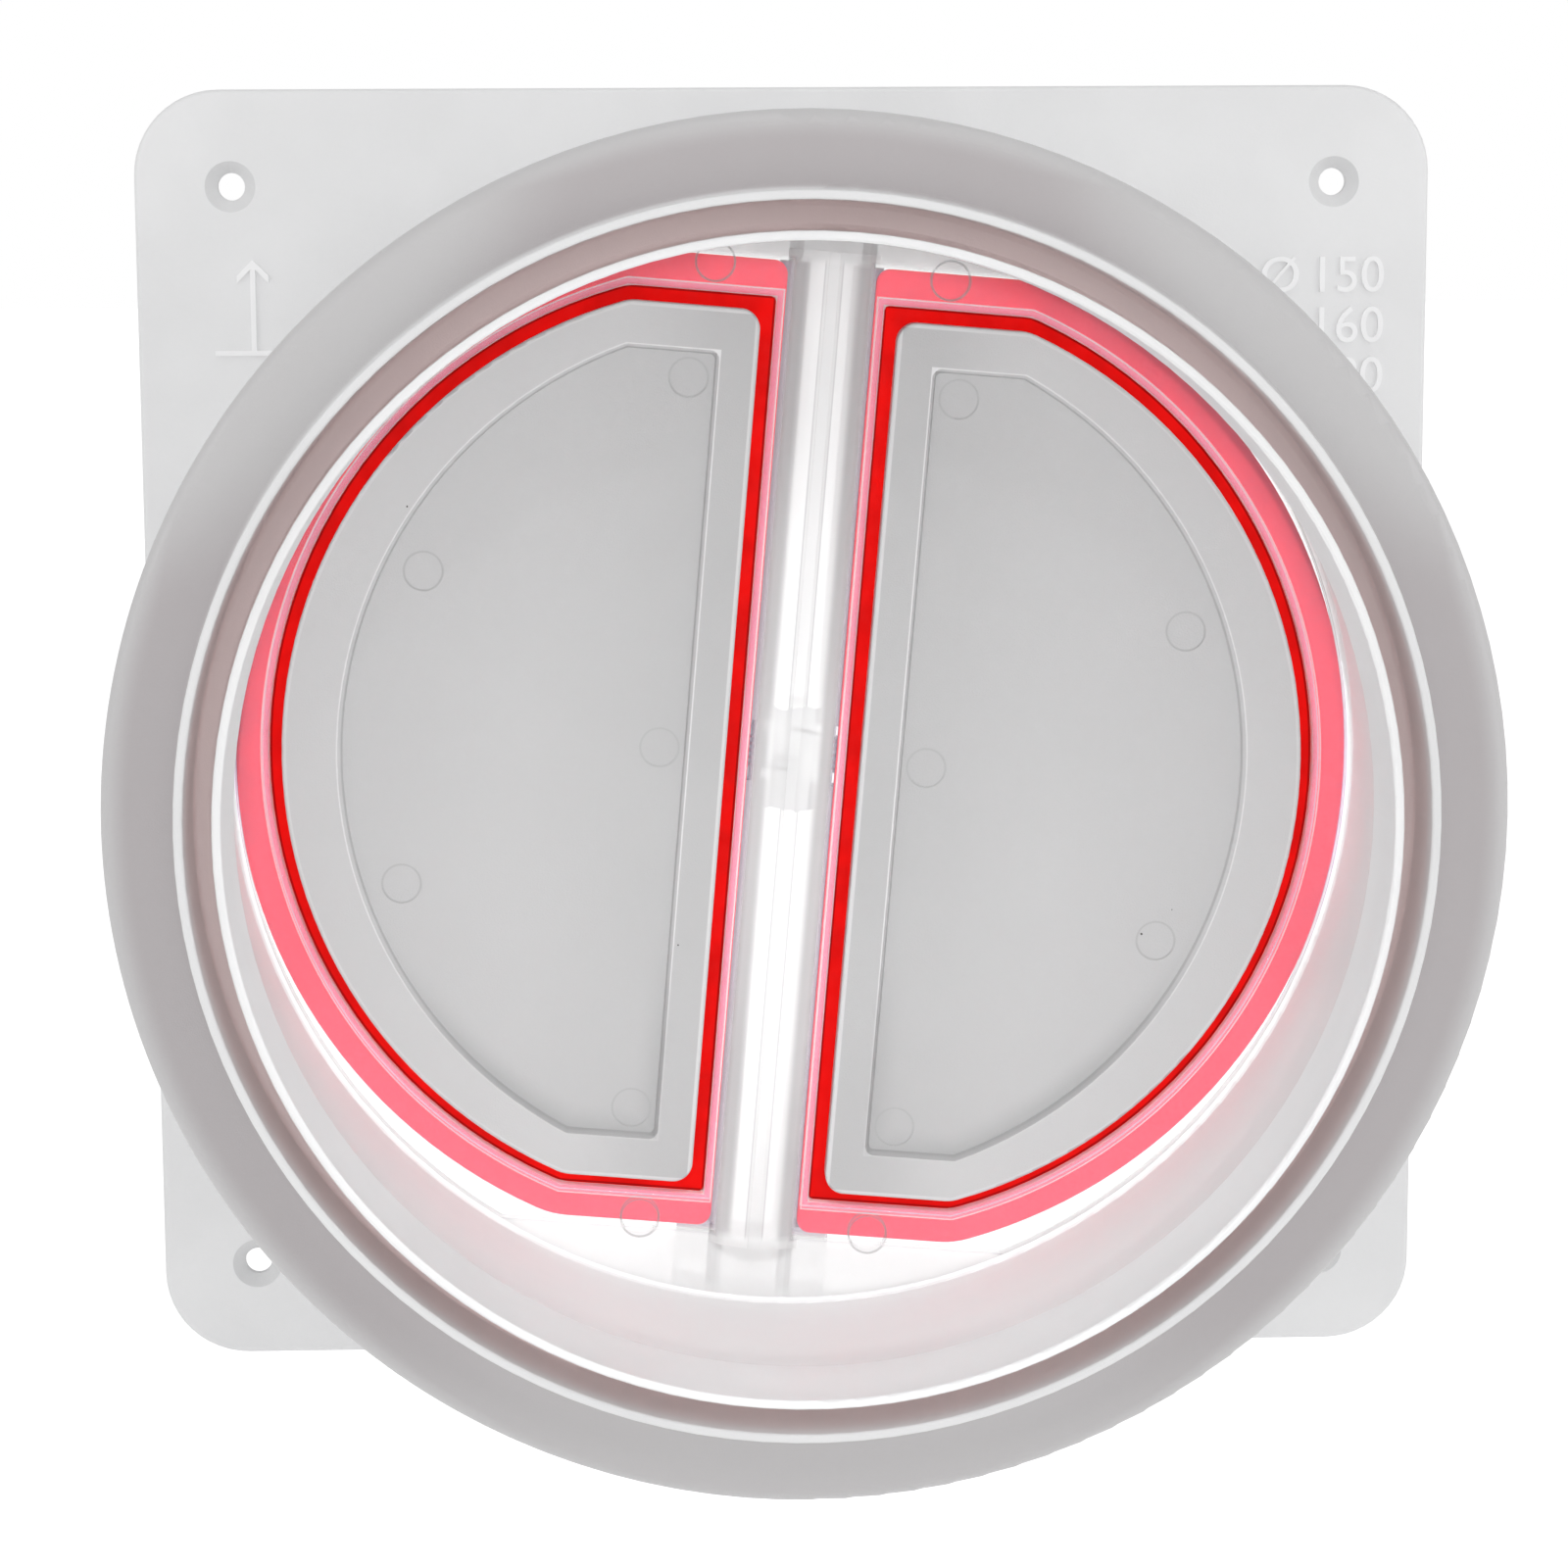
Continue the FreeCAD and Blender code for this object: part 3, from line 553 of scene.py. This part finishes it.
def flap_plastic(colours):
    """Grey-white satin plastic: painted shade near the bar, a lighter border, painted shade at the foot of
    the sunk field, painted highlights at its step and along the edge, painted shade on the pin marks, and
    dirt specks.
    """
    material, tree, shader, place = finish_material("Grey flap plastic", IOR=1.48)
    skin = use_group(tree, moulded_skin(), {"Place": place, "Grain": 4200.0, "Clouds": 38.0})
    speck = use_group(tree, dirt_specks(), {"Place": place, "Share": 0.09})
    seat = use_group(tree, dee_place(), {"Place": place, **SUNK_FIELD})
    # Painted shade: the flap is painted darker near the bar and lighter away from it.
    near = ramp(tree, seat["Across"], 9.0 * MM, 42.0 * MM)
    tone = blend_colour(tree, near, shaded(colours.flap, 0.9), shaded(colours.flap, 1.03))
    tone = blend_colour(tree, maths(tree, "MULTIPLY", skin["Cloud"], 0.3), tone, colours.flap)
    height = node(tree, "ShaderNodeSeparateXYZ", {0: place}).outputs[2]
    outside = ramp(tree, seat["Beyond"], 0.0, 0.2 * MM)
    border = product(tree, outside, ramp(tree, seat["Across"], 15.0 * MM, 30.0 * MM))
    tone = blend_colour(tree, border, tone, shaded(colours.flap, 1.09))
    # Painted shade: darker at the foot of the sunk field, just inside its lower edge.
    near_edge = ramp(tree, seat["Beyond"], -4.5 * MM, -0.2 * MM)
    within = ramp(tree, seat["Beyond"], -0.2 * MM, 0.0, 1.0, 0.0)
    foot = product(tree, near_edge, within, ramp(tree, height, -22.0 * MM, -50.0 * MM))
    tone = blend_colour(tree, foot, tone, shaded(colours.flap, 0.84))
    # Painted highlight on the step round the sunk field, strongest in its upper part.
    wall = band(tree, seat["Beyond"], -0.3 * MM, 0.1 * MM, 0.15 * MM)
    wall = product(tree, wall, ramp(tree, height, -48.0 * MM, -20.0 * MM, 0.2, 1.0))
    tone = blend_colour(tree, wall, tone, shaded(colours.flap, 1.4))
    # Painted highlight along the flap's edge beside the window.
    rim = band(tree, window_place(tree, place)["Beyond"], -2.6 * MM, -2.0 * MM, 0.15 * MM)
    tone = blend_colour(tree, rim, tone, shaded(colours.flap, 1.22))
    # Painted shade on the thin outlines of the ejector pin marks.
    marks = pin_marks(tree, seat, FLAP_PINS)
    tone = blend_colour(tree, maths(tree, "MULTIPLY", marks, 0.6), tone, shaded(colours.flap, 0.8))
    tone = blend_colour(tree, speck["Speck"], tone, colours.speck)
    tree.links.new(tone, shader.inputs["Base Color"])
    tree.links.new(ramp(tree, skin["Haze"], 0.0, 1.0, 0.42, 0.54), shader.inputs["Roughness"])
    bump(tree, shader, skin["Skin"], 0.025 * MM)
    return material


def red_silicone(colours):
    """Soft red silicone: duller in the windows, painted brighter behind the web, with a painted shadow line
    just inside the window edge.
    """
    material, tree, shader, place = finish_material("Red silicone", IOR=1.41, Specular_IOR_Level=0.15)
    skin = use_group(tree, moulded_skin(), {"Place": place, "Grain": 1500.0, "Clouds": 140.0})
    beyond = window_place(tree, place)["Beyond"]
    # Painted light: the seal is painted brighter behind the web than where it shows in the windows.
    shown = ramp(tree, beyond, -0.1 * MM, 0.2 * MM, 1.0, 0.0)
    # Painted shadow: a dark line on the seal just inside the window edge.
    shadow_line = band(tree, beyond, -0.25 * MM, -0.05 * MM, 0.1 * MM)
    bright = blend_colour(tree, skin["Cloud"], shaded(colours.seal, 1.06), shaded(colours.seal, 1.16))
    dull = blend_colour(tree, skin["Cloud"], shaded(colours.seal, 0.72), shaded(colours.seal, 0.86))
    tone = blend_colour(tree, shown, bright, dull)
    tone = blend_colour(tree, maths(tree, "MULTIPLY", shadow_line, 0.7), tone, shaded(colours.seal, 0.15))
    tree.links.new(tone, shader.inputs["Base Color"])
    tree.links.new(ramp(tree, skin["Haze"], 0.0, 1.0, 0.40, 0.58), shader.inputs["Roughness"])
    bump(tree, shader, skin["Skin"], 0.05 * MM)
    return material


def drawn_steel(colours):
    """Drawn steel with fine lines along the pins."""
    material, tree, shader, place = finish_material("Drawn steel", Metallic=1.0)
    drawn = node(tree, "ShaderNodeMapping", {"Vector": place, "Scale": (1.0, 1.0, 0.02)})
    lines = noise(tree, drawn.outputs[0], 9000.0, 3.0)
    tone = blend_colour(tree, lines, shaded(colours.steel, 0.85), shaded(colours.steel, 1.1))
    tree.links.new(tone, shader.inputs["Base Color"])
    tree.links.new(ramp(tree, lines, 0.3, 0.7, 0.22, 0.36), shader.inputs["Roughness"])
    bump(tree, shader, lines, 0.005 * MM)
    return material


def dress(material, *names):
    """Gives a material to nodes of the part; stops if one isn't there."""
    for name in names:
        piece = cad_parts.get(name)
        if piece is None:
            raise RuntimeError("The part has no piece named " + name)
        piece.data.materials.clear()
        piece.data.materials.append(material)


def carried(name, mesh, material, body):
    """A finished mesh as a piece that rides on a body."""
    if not mesh.polygons:
        raise RuntimeError(name + " has no faces")
    piece = bpy.data.objects.new(name, mesh)
    bpy.context.scene.collection.objects.link(piece)
    mesh.materials.clear()
    mesh.materials.append(material)
    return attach(piece, body)


def on_plate(sizes, across, up):
    """The matrix that stands a flat drawing on the plate's room side."""
    sunk = 0.05 * MM
    spot = Vector((across, sunk - sizes.plate_thickness, up))
    return Matrix.Translation(spot) @ Matrix.Rotation(math.radians(90), 4, "X")


class DAMPER_OT_flange_body(bpy.types.Operator):
    """Give the plate and the collar their white moulded plastic"""

    bl_idname = "damper.flange_body"
    bl_label = "Flange body"

    def execute(self, context):
        dress(white_plastic(context.scene.damper_colours), "flange_body")
        return {"FINISHED"}


class DAMPER_OT_valve_seat(bpy.types.Operator):
    """Give the seat its milky clear plastic"""

    bl_idname = "damper.valve_seat"
    bl_label = "Valve seat"

    def execute(self, context):
        dress(milky_plastic(context.scene.damper_colours), "valve_seat")
        return {"FINISHED"}


class DAMPER_OT_flaps(bpy.types.Operator):
    """Give both flaps their grey-white plastic"""

    bl_idname = "damper.flaps"
    bl_label = "Flaps"

    def execute(self, context):
        dress(flap_plastic(context.scene.damper_colours), "flap_left", "flap_right")
        return {"FINISHED"}


class DAMPER_OT_seals(bpy.types.Operator):
    """Give both seals their red silicone"""

    bl_idname = "damper.seals"
    bl_label = "Seals"

    def execute(self, context):
        dress(red_silicone(context.scene.damper_colours), "seal_left", "seal_right")
        return {"FINISHED"}


class DAMPER_OT_hinges(bpy.types.Operator):
    """Give the hinge pins and springs their drawn steel"""

    bl_idname = "damper.hinges"
    bl_label = "Hinge pins and springs"

    def execute(self, context):
        steel = drawn_steel(context.scene.damper_colours)
        dress(steel, "hinge_pin_left", "hinge_pin_right", "spring_left", "spring_right")
        return {"FINISHED"}


class DAMPER_OT_size_numbers(bpy.types.Operator):
    """Stand the duct sizes on the plate as raised numbers"""

    bl_idname = "damper.size_numbers"
    bl_label = "Size numbers"

    def execute(self, context):
        sizes = context.scene.damper_sizes
        across, up = sizes.number_place
        raised = raised_plastic(context.scene.damper_colours)
        for row, diameter in enumerate(DUCT_SIZES):
            curve = bpy.data.curves.new("number", "FONT")
            curve.body = "Ø " + str(diameter)
            curve.align_x = "RIGHT"
            curve.size = sizes.number_size
            curve.space_word = 0.6
            curve.extrude = sizes.mark_height
            curve.resolution_u = 6
            drawing = bpy.data.objects.new("number", curve)
            mesh = bpy.data.meshes.new_from_object(drawing)
            bpy.data.objects.remove(drawing)
            bpy.data.curves.remove(curve)
            mesh.transform(on_plate(sizes, across, up - row * sizes.number_pitch))
            carried("size_number_" + str(diameter), mesh, raised, "housing")
        return {"FINISHED"}


class DAMPER_OT_up_arrow(bpy.types.Operator):
    """Stand a raised arrow on the plate that shows which way is up"""

    bl_idname = "damper.up_arrow"
    bl_label = "Up arrow"

    def execute(self, context):
        sizes = context.scene.damper_sizes
        half = sizes.arrow_stroke / 2
        tall = sizes.arrow_length
        barb = tall * 0.17
        slant = sizes.arrow_stroke * math.sqrt(2)
        foot = tall * 0.42
        tip = (0.0, tall)
        side = [
            (foot, -half), (foot, half), (half, half), (half, tall - slant - half),
            (barb, tall - slant - barb), (barb, tall - barb),
        ]
        outline = side + [tip] + [(-u, v) for u, v in reversed(side)]
        shape = bmesh.new()
        face = shape.faces.new([shape.verts.new((u, v, 0.0)) for u, v in outline])
        raised = bmesh.ops.extrude_face_region(shape, geom=[face])
        tops = [g for g in raised["geom"] if isinstance(g, bmesh.types.BMVert)]
        bmesh.ops.translate(shape, verts=tops, vec=(0.0, 0.0, sizes.mark_height))
        bmesh.ops.recalc_face_normals(shape, faces=shape.faces)
        mesh = bpy.data.meshes.new("up_arrow")
        shape.to_mesh(mesh)
        shape.free()
        mesh.transform(on_plate(sizes, *sizes.arrow_place))
        carried("up_arrow", mesh, raised_plastic(context.scene.damper_colours), "housing")
        return {"FINISHED"}


def make_floor(scene, studio):
    """The pale floor, which shows white to the camera and gives the damper less light than that."""
    shape = bmesh.new()
    bmesh.ops.create_grid(shape, x_segments=1, y_segments=1, size=6.0)
    mesh = bpy.data.meshes.new("floor")
    shape.to_mesh(mesh)
    shape.free()
    mesh.transform(Matrix.Translation((0.0, 0.0, CAD_BOX[0].z - 0.5 * MM)))
    floor = bpy.data.objects.new("floor", mesh)
    scene.collection.objects.link(floor)
    material, tree, shader, place = finish_material("Pale floor", Roughness=0.9)
    pale = scene.damper_colours.floor
    tone = blend_colour(tree, noise(tree, place, 3.0, 3.0), shaded(pale, 0.99), pale)
    tree.links.new(tone, shader.inputs["Base Color"])
    shader.inputs["Emission Color"].default_value = WHITE
    seen = node(tree, "ShaderNodeLightPath").outputs["Is Camera Ray"]
    lit = node(tree, "ShaderNodeMix", {0: seen, 2: studio.floor_glow, 3: 0.85}, data_type="FLOAT")
    tree.links.new(lit.outputs[0], shader.inputs["Emission Strength"])
    mesh.materials.append(material)


def make_world(scene, studio):
    """Surroundings that are bright in front and dim behind, and show white to the camera."""
    world = bpy.data.worlds.new("Studio")
    world.use_nodes = True
    tree = world.node_tree
    tree.nodes.clear()
    place = node(tree, "ShaderNodeTexCoord").outputs["Generated"]
    way = node(tree, "ShaderNodeSeparateXYZ", {0: place})
    front = ramp(tree, way.outputs[1], -0.97, -0.85, studio.front_level, 0.0)
    back = ramp(tree, way.outputs[1], 0.0, 0.6, 0.0, studio.back_level)
    glow = maths(tree, "ADD", maths(tree, "ADD", front, back), studio.side_level)
    seen = node(tree, "ShaderNodeLightPath").outputs["Is Camera Ray"]
    level = node(tree, "ShaderNodeMix", {0: seen, 2: glow, 3: 1.0}, data_type="FLOAT")
    sky = node(tree, "ShaderNodeBackground", {"Color": WHITE, "Strength": level.outputs[0]})
    output = tree.nodes.new("ShaderNodeOutputWorld")
    tree.links.new(sky.outputs[0], output.inputs[0])
    scene.world = world


def place_lamp(scene, lamp, spot, way):
    """A lamp that stands at a spot and shines in a direction."""
    light = bpy.data.objects.new(lamp.name, lamp)
    light.location = spot
    light.rotation_euler = way.to_track_quat("-Z", "Y").to_euler()
    scene.collection.objects.link(light)
    return light


def receivers(name, *pieces):
    """A collection of the pieces that a lamp lights, and no others."""
    made = bpy.data.collections.new(name)
    for piece in pieces:
        made.objects.link(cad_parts[piece])
    return made


def make_soft_lamps(scene, studio):
    """Wide round lamps that all shine at the origin."""
    for name, spot, width in SOFT_LAMPS:
        lamp = bpy.data.lights.new(name, "AREA")
        lamp.shape = "DISK"
        lamp.size = width
        lamp.energy = studio.lamp_power
        place_lamp(scene, lamp, spot, -Vector(spot))


def make_narrow_lamps(scene, studio):
    """Narrow lamps into the mouth, most of which light some pieces alone."""
    mouth = Vector((0.0, CAD_BOX[0].y, 0.0))
    below, left, right = (Vector((x, -0.058, z)) for x, z in ((0.0, -0.086), (-0.05, 0.0), (0.05, 0.0)))
    low_flaps = Vector((0.0, -0.03, -0.036))
    ahead = (-0.01, -0.7, 0.075)
    seals = receivers("lit by the seal lamp", "seal_left", "seal_right")
    seat = receivers("lit by the sleeve lamps", "valve_seat")
    body = receivers("lit by the groove lamp", "flange_body")
    flaps = receivers("lit by the flap lamp", "flap_left", "flap_right")
    upper_power = 1.8 * studio.sleeve_power
    # Name, place, aim, beam radius at the aim in mm, power, source radius in m, soft share, pieces lit.
    for name, spot, aim, beam, power, soft, blend, lit in (
        ("mouth lamp", ahead, mouth, 73.4, studio.mouth_power, 0.003, 0.04, None),
        ("seal lamp", ahead, mouth, 80.0, studio.seal_power, 0.003, 0.04, seals),
        ("groove lamp", (0.015, -0.78, 0.085), mouth, 79.0, studio.groove_power, 0.003, 0.04, body),
        ("flap lamp", (0.0, -0.6, 0.25), low_flaps, 62.0, studio.flap_power, 0.05, 1.0, flaps),
        ("upper sleeve lamp", (0.0, -0.55, 0.42), below, 66.0, upper_power, 0.08, 0.5, seat),
        ("left sleeve lamp", (-0.42, -0.55, 0.05), right, 75.0, studio.sleeve_power, 0.08, 0.5, seat),
        ("right sleeve lamp", (0.42, -0.55, 0.05), left, 75.0, studio.sleeve_power, 0.08, 0.5, seat),
    ):
        way = aim - Vector(spot)
        lamp = bpy.data.lights.new(name, "SPOT")
        lamp.energy = power
        lamp.spot_size = 2 * math.atan2(beam * MM, way.length)
        lamp.spot_blend = blend
        lamp.shadow_soft_size = soft
        light = place_lamp(scene, lamp, spot, way)
        light.visible_glossy = False
        light.light_linking.receiver_collection = lit


def make_camera(scene):
    """The camera at the photograph's angle, with plain colours."""
    lens = bpy.data.cameras.new("camera")
    lens.sensor_width = CAMERA_SENSOR
    lens.lens = CAMERA_LENS
    lens.clip_start = 0.01
    look = Vector(CAMERA_LOOK).normalized()
    side = look.cross(Vector(CAMERA_UP)).normalized()
    turn = Matrix((side, side.cross(look), -look)).transposed().to_4x4()
    camera = bpy.data.objects.new("camera", lens)
    camera.matrix_world = Matrix.Translation(CAMERA_PLACE) @ turn
    scene.collection.objects.link(camera)
    scene.camera = camera
    scene.view_settings.view_transform = "Standard"


class DAMPER_OT_stage(bpy.types.Operator):
    """Make the pale floor, the light and the camera"""

    bl_idname = "damper.stage"
    bl_label = "Stage"

    def execute(self, context):
        scene = context.scene
        make_floor(scene, scene.damper_studio)
        make_world(scene, scene.damper_studio)
        make_soft_lamps(scene, scene.damper_studio)
        make_narrow_lamps(scene, scene.damper_studio)
        make_camera(scene)
        return {"FINISHED"}


OPERATORS = (
    DAMPER_OT_flange_body,
    DAMPER_OT_valve_seat,
    DAMPER_OT_flaps,
    DAMPER_OT_seals,
    DAMPER_OT_hinges,
    DAMPER_OT_size_numbers,
    DAMPER_OT_up_arrow,
    DAMPER_OT_stage,
)


class DAMPER_PT_sidebar(bpy.types.Panel):
    """The damper's pieces, sizes and colours"""

    bl_idname = "DAMPER_PT_sidebar"
    bl_label = "Backdraft damper"
    bl_space_type = "VIEW_3D"
    bl_region_type = "UI"
    bl_category = "Damper"

    def draw(self, context):
        for kind in OPERATORS:
            self.layout.operator(kind.bl_idname)
        scene = context.scene
        for group in (scene.damper_sizes, scene.damper_colours, scene.damper_studio):
            for key in group.__annotations__:
                self.layout.prop(group, key)


CLASSES = (DamperSizes, DamperColours, DamperStudio, *OPERATORS, DAMPER_PT_sidebar)


def register():
    for kind in CLASSES:
        bpy.utils.register_class(kind)
    bpy.types.Scene.damper_sizes = bpy.props.PointerProperty(type=DamperSizes)
    bpy.types.Scene.damper_colours = bpy.props.PointerProperty(type=DamperColours)
    bpy.types.Scene.damper_studio = bpy.props.PointerProperty(type=DamperStudio)


def unregister():
    del bpy.types.Scene.damper_studio
    del bpy.types.Scene.damper_colours
    del bpy.types.Scene.damper_sizes
    for kind in reversed(CLASSES):
        bpy.utils.unregister_class(kind)


def main():
    register()
    bpy.ops.damper.flange_body()
    bpy.ops.damper.valve_seat()
    bpy.ops.damper.flaps()
    bpy.ops.damper.seals()
    bpy.ops.damper.hinges()
    bpy.ops.damper.size_numbers()
    bpy.ops.damper.up_arrow()
    bpy.ops.damper.stage()


if __name__ == "__main__":
    main()
